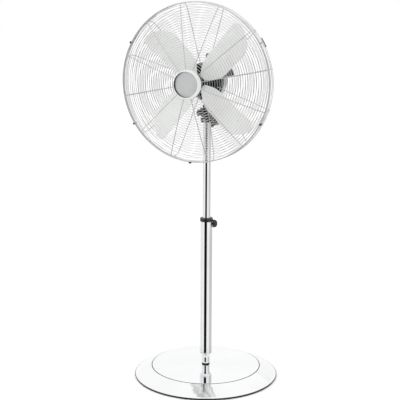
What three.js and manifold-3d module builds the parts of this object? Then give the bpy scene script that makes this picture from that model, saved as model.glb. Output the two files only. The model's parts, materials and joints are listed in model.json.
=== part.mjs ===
// Pedestal fan: a chromed round base and telescopic stand, a tilting and swinging motor head,
// four paddle blades and a two-part wire guard.
// Millimetres. +Z is up, the origin is on the pole's axis at floor level, and the fan blows to -Y.

import * as THREE from 'three';
import { mergeVertices } from 'three/addons/utils/BufferGeometryUtils.js';
import Module from 'manifold-3d';

const wasm = await Module();
wasm.setup();

// ---------------------------------------------------------------- driving dimensions
const GAP = 0.3;                 // clearance between neighbouring pieces

const BASE_RADIUS = 222.6;       // outside of the dish
const DISH_TOP = 31.8;           // height of the flat middle of the dish
const DISH_FLAT_RADIUS = 168;    // where the flat middle meets the conical ring
const SHEET = 1.5;               // thickness of the spun dish
const FOOT_HEIGHT = 2.7;
const FOOT_CIRCLE = 185;

const WIDE_TUBE_RADIUS = 19;
const WIDE_TUBE_BOTTOM = 72.3;
const WIDE_TUBE_TOP = 492.7;
const NARROW_TUBE_RADIUS = 12.5;
const NARROW_TUBE_BOTTOM = 398;
const NARROW_TUBE_TOP = 805;
const COLLAR_RADIUS = 20;
const COLLAR_TOP = 504;

const CLAMP_HEIGHT = 485;        // axis of the height knob
const CLAMP_BEARING = 22;        // degrees round the pole from +X
const CLAMP_HOLE = 4.4;

const NECK_BOTTOM = 797;
const NECK_RADIUS = 19.5;
const TILT_HEIGHT = 824.5;       // axis of the tilt pin
const FORK_BRIDGE = 836;         // underside of the tilting fork's bridge
const SLEEVE_TOP = 849.7;        // top of the fork's sleeve, where the head rests
const PIVOT_TOP = 866;           // top of the shaft that the head swings on
const PIN_RADIUS = 3;

const AXIS_HEIGHT = 921;         // axis of the motor and blades
const BELL_RADIUS = 57;
const REAR_BELL_RADIUS = 53;
const BELL_FACE = 20;            // front of the motor, ahead of the pole's axis
const BELL_JOINT = 6;            // where the front bell meets the rear one
const MOTOR_BACK = -38;
const HOOD_BACK = -95;
const HOOD_SKIRT = 13;           // lower edge of the hood, above the motor's axis
const SHAFT_RADIUS = 4;

const CRANK_X = -20;             // upright axis of the worm wheel and crank
const CRANK_Y = 61;
const LINK_ARM = 26;             // radius of the link's fixed pin about the swing axis
const CRANK_THROW = 16.7;        // gives 40 degrees of swing each way
const LINK_HEIGHT = 842.8;

const GUARD_RADIUS = 234;
const WIRE_RIM = 2.4;            // half thickness of the rim wires
const FRONT_RIM = 97;            // rim plane of the front guard
const REAR_RIM = 90.6;           // rim plane of the rear guard
const BAND_BACK = 61.4;          // where the rear guard's ribs leave the side band
const GUARD_SPOKES = 12;
const FRONT_SPOKE_ANGLE = 11;
const REAR_SPOKE_ANGLE = 11.5;
const LATCH_ANGLE = 30.5;
const CLIP_ANGLES = [151, 213, 267, 332];
const COVER_RADIUS = 42;
const COVER_FACE = 157;

const BLADES = 4;
const BLADE_PLANE = 64.4;
const BLADE_SLOPE = 0.208;       // rise across the blade, towards the front
const BLADE_SHEET = 1.6;

// ---------------------------------------------------------------- materials
function finish(color, roughness, metalness) {
  return new THREE.MeshStandardMaterial({ color, roughness, metalness });
}
const chrome = finish(0xe8e9ea, 0.05, 1);
const blackPlastic = finish(0x0c0c0d, 0.35, 0);
const blackPaint = finish(0x08080a, 0.15, 0);
const silverPaint = finish(0xd8dad8, 0.35, 0.3);
const satinSilver = finish(0xb9babb, 0.4, 0.8);
const steel = finish(0x8e9194, 0.35, 1);
const castIron = finish(0x2e2f31, 0.7, 0.6);
const rubber = finish(0x141414, 0.8, 0);
const copper = finish(0xb56a3c, 0.4, 0.8);
const aluminium = finish(0xc9cccf, 0.35, 0.9);
const nylon = finish(0xe9e6dc, 0.5, 0);

// ---------------------------------------------------------------- solids
// A closed body with its faces pointing out, without triangles that have no area.
function bodyOf(geometry) {
  const bare = geometry.clone();
  bare.deleteAttribute('normal');
  bare.deleteAttribute('uv');
  const merged = mergeVertices(bare, 1e-3);
  const corners = [];
  const index = merged.index.array;
  for (let i = 0; i < index.length; i += 3) {
    const [a, b, c] = [index[i], index[i + 1], index[i + 2]];
    if (a !== b && b !== c && c !== a) corners.push(a, b, c);
  }
  merged.setIndex(corners);
  if (volumeOf(merged) < 0) {
    for (let i = 0; i < corners.length; i += 3) {
      [corners[i + 1], corners[i + 2]] = [corners[i + 2], corners[i + 1]];
    }
    merged.setIndex(corners);
  }
  return new wasm.Manifold(new wasm.Mesh({
    numProp: 3,
    vertProperties: new Float32Array(merged.attributes.position.array),
    triVerts: new Uint32Array(corners),
  }));
}

function volumeOf(geometry) {
  const [a, b, c] = [new THREE.Vector3(), new THREE.Vector3(), new THREE.Vector3()];
  const place = geometry.attributes.position;
  const index = geometry.index.array;
  let sum = 0;
  for (let i = 0; i < index.length; i += 3) {
    a.fromBufferAttribute(place, index[i]);
    b.fromBufferAttribute(place, index[i + 1]);
    c.fromBufferAttribute(place, index[i + 2]);
    sum += a.dot(b.cross(c)) / 6;
  }
  return sum;
}

function geometryOf(body) {
  const mesh = body.getMesh();
  const geometry = new THREE.BufferGeometry();
  geometry.setAttribute('position', new THREE.BufferAttribute(new Float32Array(mesh.vertProperties), 3));
  geometry.setIndex(Array.from(mesh.triVerts));
  geometry.computeVertexNormals();
  return geometry;
}

// A turned piece about +Z from [radius, height] points. A profile off the axis closes on itself.
function turned(profile, segments = 20) {
  const points = profile.map(([r, z]) => new THREE.Vector2(r, z));
  const touchesAxis = profile[0][0] === 0 && profile[profile.length - 1][0] === 0;
  if (!touchesAxis) points.push(points[0].clone());
  return bodyOf(new THREE.LatheGeometry(points, segments).rotateX(Math.PI / 2));
}

function tube(inner, outer, bottom, top, segments = 20) {
  return turned([[inner, bottom], [outer, bottom], [outer, top], [inner, top]], segments);
}

function rod(radius, bottom, top, segments = 16) {
  return turned([[0, bottom], [radius, bottom], [radius, top], [0, top]], segments);
}

// A block between two corners.
function block([x0, y0, z0], [x1, y1, z1]) {
  const geometry = new THREE.BoxGeometry(x1 - x0, y1 - y0, z1 - z0);
  return bodyOf(geometry.translate((x0 + x1) / 2, (y0 + y1) / 2, (z0 + z1) / 2));
}

// A flat outline in XY, from one height to another.
function plate(shape, bottom, top, curveSegments = 8) {
  const geometry = new THREE.ExtrudeGeometry(shape, {
    depth: top - bottom,
    bevelEnabled: false,
    curveSegments,
  });
  return bodyOf(geometry.translate(0, 0, bottom));
}

// Moves a body by rotating it, then shifting it.
function placed(body, { x = 0, y = 0, z = 0, turnX = 0, turnY = 0, turnZ = 0 }) {
  const geometry = geometryOf(body);
  geometry.rotateX(THREE.MathUtils.degToRad(turnX));
  geometry.rotateY(THREE.MathUtils.degToRad(turnY));
  geometry.rotateZ(THREE.MathUtils.degToRad(turnZ));
  return bodyOf(geometry.translate(x, y, z));
}

// A square wire of the given half thickness along a curve.
function wire(curve, half, steps) {
  const section = new THREE.Shape([
    new THREE.Vector2(half, 0),
    new THREE.Vector2(0, half),
    new THREE.Vector2(-half, 0),
    new THREE.Vector2(0, -half),
  ]);
  return bodyOf(new THREE.ExtrudeGeometry(section, { extrudePath: curve, steps, bevelEnabled: false }));
}

function hoop(radius, height, half, segments) {
  return bodyOf(new THREE.TorusGeometry(radius, half, 4, segments).translate(0, 0, height));
}

function joined(bodies) {
  return bodies.reduce((sum, body) => sum.add(body));
}

function add(group, name, material, body, place = {}) {
  const mesh = new THREE.Mesh(geometryOf(body), material);
  mesh.name = name;
  mesh.position.set(place.x ?? 0, place.y ?? 0, place.z ?? 0);
  mesh.rotation.z = THREE.MathUtils.degToRad(place.turnZ ?? 0);
  group.add(mesh);
}

const fan = new THREE.Group();

// ---------------------------------------------------------------- base
function buildBase(group) {
  const lip = 4.6;
  const ringTop = DISH_FLAT_RADIUS + 3;
  const ringFoot = 213;
  const cover = turned([
    [7, DISH_TOP],
    [DISH_FLAT_RADIUS - 1, DISH_TOP],
    [ringTop, DISH_TOP - 1],
    [ringFoot, lip + 1.7],
    [BASE_RADIUS - 0.8, lip + 1.1],
    [BASE_RADIUS, lip + 0.6],
    [BASE_RADIUS, lip],
    [ringFoot - 0.8, lip],
    [ringTop - 0.7, DISH_TOP - 2.8],
    [DISH_FLAT_RADIUS - 2.2, DISH_TOP - SHEET],
    [7, DISH_TOP - SHEET],
  ], 40);
  add(group, 'base_cover', chrome, cover);

  add(group, 'base_edge_trim', blackPlastic, turned([
    [ringFoot, 1.4],
    [BASE_RADIUS - 1, 0.8],
    [BASE_RADIUS - 0.4, 1.6],
    [BASE_RADIUS - 0.3, lip - GAP],
    [ringFoot, lip - GAP],
  ], 40));

  const plateBottom = FOOT_HEIGHT + GAP;
  const plateTop = plateBottom + 1.2;
  add(group, 'base_plate', steel, tube(12, 206, plateBottom, plateTop, 32));
  const ironBottom = plateTop + GAP;
  add(group, 'base_weight', castIron, tube(21, 152, ironBottom, ironBottom + 7.5, 28));

  for (let i = 0; i < 4; i += 1) {
    const angle = Math.PI / 4 + i * Math.PI / 2;
    const foot = turned([[0, 0], [9, 0], [10, 0.8], [10, FOOT_HEIGHT], [0, FOOT_HEIGHT]], 16);
    const at = { x: FOOT_CIRCLE * Math.cos(angle), y: FOOT_CIRCLE * Math.sin(angle) };
    add(group, `base_foot_${i + 1}`, rubber, foot, at);
  }

  const bore = 5 + GAP;
  const washerTop = DISH_TOP + 3;
  add(group, 'foot_washer', rubber, tube(bore, 12.2, DISH_TOP + GAP, washerTop, 24));
  const ferruleTop = WIDE_TUBE_BOTTOM - GAP;
  add(group, 'foot_ferrule', chrome, turned([
    [bore, washerTop + GAP],
    [11.2, washerTop + GAP],
    [12, washerTop + 4],
    [12.4, ferruleTop - 15],
    [14.5, ferruleTop - 9],
    [WIDE_TUBE_RADIUS, ferruleTop - 3.5],
    [WIDE_TUBE_RADIUS + 0.4, ferruleTop - 2],
    [WIDE_TUBE_RADIUS + 0.4, ferruleTop],
    [bore, ferruleTop],
  ]));
  const bolt = turned([
    [0, ironBottom], [9, ironBottom], [9, ironBottom + 6.5], [5, ironBottom + 6.5], [5, 94], [0, 94],
  ], 18);
  add(group, 'base_bolt', steel, bolt);
  const plugRadius = WIDE_TUBE_RADIUS - 1.5 - GAP;
  add(group, 'tube_plug', steel, tube(bore, plugRadius, WIDE_TUBE_BOTTOM, 98, 24));
}

// ---------------------------------------------------------------- stand
function buildStand(group) {
  const inside = WIDE_TUBE_RADIUS - 1.5;
  const studHole = placed(rod(CLAMP_HOLE, 0, 40, 16), { turnY: 90, turnZ: CLAMP_BEARING, z: CLAMP_HEIGHT });
  const wide = tube(inside, WIDE_TUBE_RADIUS, WIDE_TUBE_BOTTOM, WIDE_TUBE_TOP);
  add(group, 'lower_tube', chrome, wide.subtract(studHole));

  const slide = NARROW_TUBE_RADIUS + GAP;
  const sleeve = turned([
    [slide, 440],
    [inside - GAP, 440],
    [inside - GAP, WIDE_TUBE_TOP + GAP],
    [COLLAR_RADIUS, WIDE_TUBE_TOP + GAP],
    [COLLAR_RADIUS, COLLAR_TOP - 1],
    [COLLAR_RADIUS - 1, COLLAR_TOP],
    [slide, COLLAR_TOP],
  ]);
  add(group, 'collar_bush', blackPlastic, sleeve.subtract(studHole));

  const narrow = tube(NARROW_TUBE_RADIUS - 1.3, NARROW_TUBE_RADIUS, NARROW_TUBE_BOTTOM, NARROW_TUBE_TOP);
  add(group, 'upper_tube', chrome, narrow);
  const guide = tube(slide, inside - GAP, NARROW_TUBE_BOTTOM - 2, NARROW_TUBE_BOTTOM + 14);
  add(group, 'tube_end_bush', nylon, guide);

  // The clamp's own frame has +Z pointing away from the pole, along the stud.
  const clamp = new THREE.Group();
  clamp.position.z = CLAMP_HEIGHT;
  clamp.rotation.order = 'ZYX';
  clamp.rotation.set(0, Math.PI / 2, THREE.MathUtils.degToRad(CLAMP_BEARING));
  group.add(clamp);
  add(clamp, 'clamp_pad', nylon, rod(3.8, slide, slide + 1.8, 16));
  add(clamp, 'height_knob', blackPlastic, turned([
    [0, 14.9],
    [4, 14.9],
    [4, 20.3],
    [11.5, 20.3],
    [12.2, 21.2],
    [12.2, 24],
    [10.8, 28.6],
    [7.2, 32.2],
    [0, 33.7],
  ], 24));
}

// ---------------------------------------------------------------- neck
function buildNeck(group) {
  const socketTop = 810;
  const cheekInside = 9.3;
  const pinHole = placed(rod(PIN_RADIUS + GAP, -30, 30, 16), { turnY: 90, z: TILT_HEIGHT });
  const mastBore = rod(NARROW_TUBE_RADIUS + GAP, NECK_BOTTOM - 1, NARROW_TUBE_TOP + GAP);
  const cup = turned([
    [0, NECK_BOTTOM],
    [15, NECK_BOTTOM],
    [18, NECK_BOTTOM + 2],
    [NECK_RADIUS, NECK_BOTTOM + 5],
    [NECK_RADIUS, socketTop],
    [0, socketTop],
  ]);
  const tongueRound = placed(rod(8, -9, 9, 20), { turnY: 90, z: TILT_HEIGHT });
  const tongueWeb = block([-9, -8, socketTop - 2], [9, 8, TILT_HEIGHT]);
  const rearLug = block([-8, 15, NECK_BOTTOM + 2], [8, 23.7, socketTop - 1]);
  const screwHole = placed(rod(2.6, 0, 30, 12), { turnX: 90, z: NECK_BOTTOM + 7 });
  const socket = joined([cup, tongueRound, tongueWeb, rearLug])
    .subtract(mastBore)
    .subtract(pinHole)
    .subtract(screwHole);
  add(group, 'neck_socket', blackPlastic, socket);

  const screw = turned([[0, 13], [2.3, 13], [2.3, 19.8], [4.2, 19.8], [3.6, 22.3], [0, 22.6]], 14);
  add(group, 'neck_screw', steel, placed(screw, { turnX: 90, z: NECK_BOTTOM + 7 }));

  buildTiltFork(group, cheekInside, pinHole);
  buildTiltFastening(group);
  buildSwitchBox(group);
}

function linkFrame() {
  const reach = Math.hypot(CRANK_X, CRANK_Y);
  const across = new THREE.Vector2(CRANK_Y, -CRANK_X).divideScalar(reach);
  const fixedPin = across.clone().multiplyScalar(LINK_ARM);
  const crankPin = new THREE.Vector2(CRANK_X, CRANK_Y).addScaledVector(across, CRANK_THROW);
  return { fixedPin, crankPin };
}

function buildTiltFork(group, cheekInside, pinHole) {
  const cheeks = [-1, 1].map((side) => {
    const near = Math.min(side * cheekInside, side * 19);
    const far = Math.max(side * cheekInside, side * 19);
    const eye = placed(rod(11.5, near, far, 20), { turnY: 90, z: TILT_HEIGHT });
    return eye.add(block([near, -11.5, TILT_HEIGHT], [far, 11.5, FORK_BRIDGE + 2]));
  });
  const bridge = block([-19, -13, FORK_BRIDGE], [19, 13, FORK_BRIDGE + 4]);
  const sleeve = rod(13, FORK_BRIDGE + 2, SLEEVE_TOP);
  const { fixedPin } = linkFrame();
  const armEnd = placed(rod(6, 838.3, LINK_HEIGHT - GAP, 16), { x: fixedPin.x, y: fixedPin.y });
  const armWeb = armBar(LINK_ARM, 5, 838.3, LINK_HEIGHT - GAP, crankBearing());
  const armHole = placed(rod(1.8, 830, LINK_HEIGHT + 1, 12), { x: fixedPin.x, y: fixedPin.y });
  const fork = joined([...cheeks, bridge, sleeve, armEnd, armWeb])
    .subtract(rod(5 + GAP, FORK_BRIDGE - 1, SLEEVE_TOP + 1, 20))
    .subtract(armHole)
    .subtract(pinHole);
  add(group, 'tilt_bracket', blackPlastic, fork);
}

function buildTiltFastening(group) {
  const pin = placed(turned([
    [0, -30], [PIN_RADIUS, -30], [PIN_RADIUS, 19.3], [5.5, 19.3], [5, 21.8], [0, 22.6],
  ], 16), { turnY: 90, z: TILT_HEIGHT });
  add(group, 'tilt_pin', steel, pin);
  const washer = placed(tube(PIN_RADIUS + GAP, 7.5, -20.7, -19.3, 16), { turnY: 90, z: TILT_HEIGHT });
  add(group, 'tilt_washer', steel, washer);
  const knob = placed(turned([
    [0, -34],
    [9.3, -34],
    [10.5, -32.6],
    [10.5, -25],
    [8, -23.5],
    [6.5, -21],
    [PIN_RADIUS + GAP, -21],
    [PIN_RADIUS + GAP, -30.5],
    [0, -30.5],
  ], 24), { turnY: 90, z: TILT_HEIGHT });
  add(group, 'tilt_knob', blackPlastic, knob);
}

function buildSwitchBox(group) {
  const low = [-20, 24, 785];
  const high = [20, 58, 822];
  const wall = 2;
  const inner = block(low.map((v) => v + wall), high.map((v) => v - wall));
  const middle = (low[2] + high[2]) / 2;
  const wireHole = placed(rod(4, -30, 0, 12), { turnX: 90, z: 804 });
  const knobHole = placed(rod(3.6, -70, -50, 14), { turnX: 90, z: middle });
  const cordHole = placed(rod(4.3, 780, 790, 14), { y: 40 });
  const box = block(low, high)
    .subtract(inner)
    .subtract(wireHole)
    .subtract(knobHole)
    .subtract(cordHole);
  add(group, 'switch_housing', blackPlastic, box);

  const body = block([-13, 34, middle - 11], [13, 52, middle + 11]);
  const spindle = placed(rod(3, -66, -50, 14), { turnX: 90, z: middle });
  add(group, 'speed_switch', nylon, body.add(spindle));
  const knob = placed(turned([
    [0, -70.5],
    [9, -70.5],
    [11, -69],
    [11.5, -58.4],
    [3 + GAP, -58.4],
    [3 + GAP, -66.5],
    [0, -66.5],
  ], 20), { turnX: 90, z: middle });
  add(group, 'speed_knob', blackPlastic, knob);
  const gland = placed(tube(3, 4, 777, 788, 14).add(tube(3, 6, 777, 784.7, 14)), { y: 40 });
  add(group, 'cord_gland', rubber, gland);
}

// ---------------------------------------------------------------- motor and oscillating gear
// Pieces of the head are drawn with +Z towards the front, +Y up and the motor's axis on Z.
const ON_AXIS = -AXIS_HEIGHT;    // adds to a height above the floor to give +Y here

// Stands a body drawn along +Z up along +Y.
function upright(body, { x = 0, z = 0 } = {}) {
  return placed(body, { turnX: -90, x, z });
}

function buildMotorCase(head) {
  const wall = 2.2;
  const seat = 11 + GAP;
  const bore = SHAFT_RADIUS + 1;
  const front = turned([
    [bore, BELL_FACE],
    [BELL_RADIUS - 6, BELL_FACE],
    [BELL_RADIUS - 1.5, BELL_FACE - 2],
    [BELL_RADIUS, BELL_FACE - 6],
    [BELL_RADIUS, BELL_JOINT],
    [BELL_RADIUS - wall, BELL_JOINT],
    [BELL_RADIUS - wall, BELL_FACE - 6.5],
    [BELL_RADIUS - 7, BELL_FACE - wall],
    [seat + 2, BELL_FACE - wall],
    [seat + 2, BELL_FACE - 11],
    [seat, BELL_FACE - 11],
    [seat, BELL_FACE - wall],
    [bore, BELL_FACE - wall],
  ]);
  add(head, 'motor_front_bell', blackPaint, front);

  const jointBack = BELL_JOINT - GAP;
  const rear = turned([
    [REAR_BELL_RADIUS, jointBack],
    [REAR_BELL_RADIUS, MOTOR_BACK + 6],
    [REAR_BELL_RADIUS - 6, MOTOR_BACK],
    [bore + 1, MOTOR_BACK],
    [bore + 1, MOTOR_BACK + wall],
    [seat, MOTOR_BACK + wall],
    [seat, MOTOR_BACK + 11],
    [seat + 2, MOTOR_BACK + 11],
    [seat + 2, MOTOR_BACK + wall],
    [REAR_BELL_RADIUS - 7, MOTOR_BACK + wall],
    [REAR_BELL_RADIUS - wall, MOTOR_BACK + 6.5],
    [REAR_BELL_RADIUS - wall, jointBack],
  ]);
  const lugBottom = SLEEVE_TOP + GAP + ON_AXIS;
  const lug = upright(rod(11, lugBottom, -BELL_RADIUS - 0.5, 20));
  const saddle = block([-9, lugBottom + 2, -20], [9, 2 - REAR_BELL_RADIUS, jointBack]);
  const shaftHole = upright(rod(5 + GAP, lugBottom - 1, PIVOT_TOP + GAP + ON_AXIS, 20));
  const rearBell = joined([rear, saddle, lug]).subtract(shaftHole);
  add(head, 'motor_rear_bell', aluminium, rearBell);

  const pivot = upright(turned([
    [0, FORK_BRIDGE - 2.8],
    [7, FORK_BRIDGE - 2.8],
    [7, FORK_BRIDGE - GAP],
    [5, FORK_BRIDGE - GAP],
    [5, PIVOT_TOP],
    [0, PIVOT_TOP],
  ].map(([r, z]) => [r, z + ON_AXIS]), 20));
  add(head, 'pivot_shaft', steel, pivot);
}

function buildMotorInside(head, spinner) {
  const coreFront = -2;
  const coreBack = -24;
  const slots = [];
  const bars = [];
  for (let i = 0; i < 8; i += 1) {
    const angle = i * Math.PI / 4;
    const at = { x: 33 * Math.cos(angle), y: 33 * Math.sin(angle) };
    slots.push(placed(rod(4.3, coreBack - 1, coreFront + 1, 8), at));
    bars.push(placed(rod(4, coreBack - 5, coreFront + 5, 8), at));
  }
  const core = slots.reduce((sum, slot) => sum.subtract(slot), tube(24.5, 46, coreBack, coreFront));
  add(head, 'stator_core', steel, core);
  const rearCoil = tube(28, 39, coreBack - 10, coreBack - GAP, 20);
  const frontCoil = tube(28, 39, coreFront + GAP, coreFront + 9, 20);
  add(head, 'stator_winding', copper, joined([rearCoil, frontCoil, ...bars]));
  const bearingBore = SHAFT_RADIUS + GAP;
  add(head, 'front_bearing', steel, tube(bearingBore, 11, BELL_FACE - 10.5, BELL_FACE - 2.5, 20));
  add(head, 'rear_bearing', steel, tube(bearingBore, 11, MOTOR_BACK + 2.5, MOTOR_BACK + 10.5, 20));

  add(spinner, 'rotor', steel, tube(bearingBore, 24, coreBack, coreFront));
  add(spinner, 'motor_shaft', steel, turned([
    [0, -78], [5.2, -78], [5.2, -42], [SHAFT_RADIUS, -41], [SHAFT_RADIUS, 84], [0, 84],
  ], 16));
}

function buildGear(head) {
  const at = { x: CRANK_X, z: -CRANK_Y };
  const low = [-40, -18, -84];
  const high = [12, 20, MOTOR_BACK - GAP];
  const wall = 2.5;
  const bossBottom = -60;
  const shell = block(low, high)
    .add(upright(rod(8, bossBottom, low[1] + 1, 20), at))
    .subtract(block(low.map((v) => v + wall), high.map((v) => v - wall)))
    .subtract(rod(6.2, -60, 0, 16))
    .subtract(upright(rod(4 + GAP, bossBottom - 1, 0, 16), at))
    .subtract(upright(rod(4.2, 10, 30, 16), at));
  add(head, 'gearbox_case', aluminium, shell);

  const wheel = upright(turned([
    [0, bossBottom - 0.7], [4, bossBottom - 0.7], [4, -4], [14, -4], [14, 4], [4, 4], [4, 9], [0, 9],
  ], 24), at);
  add(head, 'worm_wheel', nylon, wheel);

  const { crankPin } = linkFrame();
  const armTop = bossBottom - 1;
  const pinAt = { x: crankPin.x, z: -crankPin.y };
  const arm = joined([
    upright(rod(9, armTop - 4.5, armTop, 20), at),
    upright(rod(6, armTop - 4.5, armTop, 16), pinAt),
    upright(armBar(CRANK_THROW, 6, armTop - 4.5, armTop, crankBearing()), at),
    upright(rod(3, LINK_HEIGHT + 3.7 + ON_AXIS, armTop - 1, 12), pinAt),
  ]);
  add(head, 'crank_arm', steel, arm);

  const hood = turned([
    [0, HOOD_BACK],
    [46, HOOD_BACK],
    [54, HOOD_BACK + 6],
    [BELL_RADIUS, HOOD_BACK + 15],
    [BELL_RADIUS, BELL_JOINT - 0.6],
    [BELL_RADIUS - 2.4, BELL_JOINT - 0.6],
    [BELL_RADIUS - 2.4, HOOD_BACK + 15.5],
    [52, HOOD_BACK + 7.5],
    [45, HOOD_BACK + 2.4],
    [0, HOOD_BACK + 2.4],
  ], 36);
  const open = block([-60, -60, HOOD_BACK - 1], [60, HOOD_SKIRT, BELL_JOINT]);
  const stemHole = upright(rod(4.2, 40, 60, 16), at);
  add(head, 'motor_hood', blackPlastic, hood.subtract(open).subtract(stemHole));

  add(head, 'oscillation_knob', blackPlastic, upright(turned([
    [0, 24], [3.5, 24], [3.5, 63], [9, 63], [10.5, 64.5], [10.5, 75.5], [8.5, 78], [0, 78.5],
  ], 20), at));
}

// The bearing, in degrees from +X, of the line from the crank's axis to its pin.
function crankBearing() {
  const { fixedPin } = linkFrame();
  return THREE.MathUtils.radToDeg(Math.atan2(fixedPin.y, fixedPin.x));
}

// A flat bar from the axis outwards, drawn in plan.
function armBar(reach, halfWidth, bottom, top, bearing) {
  return placed(block([0, -halfWidth, bottom], [reach, halfWidth, top]), { turnZ: bearing });
}

function buildLink(group) {
  const { fixedPin, crankPin } = linkFrame();
  const reach = fixedPin.distanceTo(crankPin);
  const bearing = THREE.MathUtils.radToDeg(Math.atan2(crankPin.y - fixedPin.y, crankPin.x - fixedPin.x));
  const top = LINK_HEIGHT + 3;
  const start = placed(armBar(reach, 4, LINK_HEIGHT, top, bearing), { x: fixedPin.x, y: fixedPin.y });
  const bar = start
    .add(placed(rod(6, LINK_HEIGHT, top, 16), { x: fixedPin.x, y: fixedPin.y }))
    .add(placed(rod(6, LINK_HEIGHT, top, 16), { x: crankPin.x, y: crankPin.y }))
    .subtract(placed(rod(1.8, LINK_HEIGHT - 1, top + 1, 12), { x: fixedPin.x, y: fixedPin.y }));
  add(group, 'link_rod', steel, bar);
  const screw = turned([
    [0, 838.6], [1.5, 838.6], [1.5, top + GAP], [4, top + GAP], [3.4, top + 2.2], [0, top + 2.4],
  ], 12);
  add(group, 'link_screw', steel, placed(screw, { x: fixedPin.x, y: fixedPin.y }));
}

// ---------------------------------------------------------------- blades
function buildBlades(spinner) {
  const hubBack = 44;
  const arms = [];
  for (let i = 0; i < BLADES; i += 1) {
    const arm = block([10, -10, -BLADE_SHEET - GAP - 1.4], [84, 10, -BLADE_SHEET - GAP]);
    arms.push(sheared(arm, i));
  }
  const boss = tube(SHAFT_RADIUS + GAP, 15, hubBack, BLADE_PLANE + 8, 20);
  const disc = tube(SHAFT_RADIUS + GAP, 24, hubBack, hubBack + 3, 24);
  const cone = turned([[12, hubBack], [24, hubBack], [15, hubBack + 12], [12, hubBack + 12]], 24);
  add(spinner, 'blade_hub', blackPaint, joined([boss, disc, cone, ...arms]));

  const outline = bladeOutline();
  for (let i = 0; i < BLADES; i += 1) {
    add(spinner, `blade_${i + 1}`, silverPaint, sheared(plate(outline, -BLADE_SHEET, 0, 3), i));
  }
  const nutBack = BLADE_PLANE + 8 + GAP;
  add(spinner, 'blade_nut', blackPlastic, turned([
    [SHAFT_RADIUS + GAP, nutBack],
    [14, nutBack],
    [15, nutBack + 2],
    [13.5, nutBack + 9],
    [8, nutBack + 13.5],
    [0, nutBack + 14.5],
    [0, 84 + GAP],
    [SHAFT_RADIUS + GAP, 84 + GAP],
  ], 20));
}

// The blade's paddle outline: x runs outwards from the axis, y across the blade.
function bladeOutline() {
  const trailing = [
    [34, -22.5], [52, -35], [66, -39], [85, -40], [112, -40], [136, -41.5], [158, -40], [178, -31],
    [194, -15],
  ];
  const tip = [[205, 4], [211.5, 21], [208, 36], [196, 43.5]];
  const leading = [[175, 43], [150, 39.5], [120, 37.5], [90, 36], [70, 33.5], [48, 28], [30, 17.5]];
  const points = [...trailing, ...tip, ...leading].map(([x, y]) => new THREE.Vector2(x, y));
  const shape = new THREE.Shape();
  shape.moveTo(17, -9);
  shape.splineThru(points);
  shape.lineTo(17, 9);
  shape.closePath();
  return shape;
}

// Sets a flat body at the blades' pitch, then turns it to its own blade's place.
function sheared(body, i) {
  const geometry = geometryOf(body);
  const place = geometry.attributes.position;
  for (let k = 0; k < place.count; k += 1) {
    place.setZ(k, place.getZ(k) + BLADE_PLANE + BLADE_SLOPE * place.getY(k));
  }
  geometry.rotateZ(Math.PI / 4 + i * 2 * Math.PI / BLADES);
  return bodyOf(geometry);
}

// ---------------------------------------------------------------- guard
const RIM = GUARD_RADIUS - WIRE_RIM;

// Distance ahead of the pole's axis of each guard's wires, by radius.
function frontHeight(r) {
  const s = (RIM - r) / (RIM - 36);
  return FRONT_RIM + 40 * s + 16 * s * (1 - s);
}

function rearHeight(r) {
  return 22.4 + (r - 44) * 0.15;
}

// A cage of equal ribs about the axis, with hoops at some of the ribs' own stations.
function cage(points, half, firstAngle, steps, hoopStations) {
  const ribs = [];
  for (let i = 0; i < GUARD_SPOKES; i += 1) {
    const angle = THREE.MathUtils.degToRad(firstAngle) + i * 2 * Math.PI / GUARD_SPOKES;
    ribs.push(wire(ribCurve(points, angle), half, steps));
  }
  const stations = ribCurve(points, 0).getSpacedPoints(steps);
  const hoops = hoopStations.map((k) => hoop(stations[k].x, stations[k].z, half, 24));
  return joined([...ribs, ...hoops]);
}

function ribCurve(points, angle) {
  const c = Math.cos(angle);
  const s = Math.sin(angle);
  return new THREE.CatmullRomCurve3(points.map(([r, z]) => new THREE.Vector3(r * c, r * s, z)));
}

function buildGuards(head) {
  const half = 1.8;
  const frontPoints = [RIM, 180, 110, 36].map((r) => [r, frontHeight(r)]);
  const front = joined([
    hoop(RIM, FRONT_RIM, WIRE_RIM, 36),
    rod(38, FRONT_RIM + 39, FRONT_RIM + 41.6, 20),
    cage(frontPoints, half, FRONT_SPOKE_ANGLE, 4, [1, 2, 3]),
  ]);
  add(head, 'front_guard', chrome, front);

  const rearPoints = [
    [RIM, REAR_RIM], [RIM, 76], [RIM, BAND_BACK], [221, 48], [200, rearHeight(200)],
    [120, rearHeight(120)], [44, rearHeight(44)],
  ];
  const rear = joined([
    hoop(RIM, REAR_RIM, WIRE_RIM, 36),
    tube(9, 50, BELL_FACE + GAP, BELL_FACE + 2.6, 20),
    cage(rearPoints, half, REAR_SPOKE_ANGLE, 8, [1, 3, 5]),
  ]);
  add(head, 'rear_guard', chrome, rear);
  add(head, 'guard_nut', blackPlastic, tube(9, 24, BELL_FACE + 3.2, BELL_FACE + 10, 20));

  const coverBack = FRONT_RIM + 41.6 + GAP;
  add(head, 'hub_cover', satinSilver, turned([
    [0, coverBack],
    [COVER_RADIUS - 2, coverBack],
    [COVER_RADIUS, coverBack + 1],
    [COVER_RADIUS - 0.4, coverBack + 7],
    [COVER_RADIUS - 2.8, COVER_FACE - 1.6],
    [COVER_RADIUS - 3.8, COVER_FACE],
    [COVER_RADIUS - 4.8, COVER_FACE],
    [COVER_RADIUS - 5, COVER_FACE - 3.5],
    [0, COVER_FACE - 3.5],
  ], 36));
  buildClips(head);
}

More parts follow.
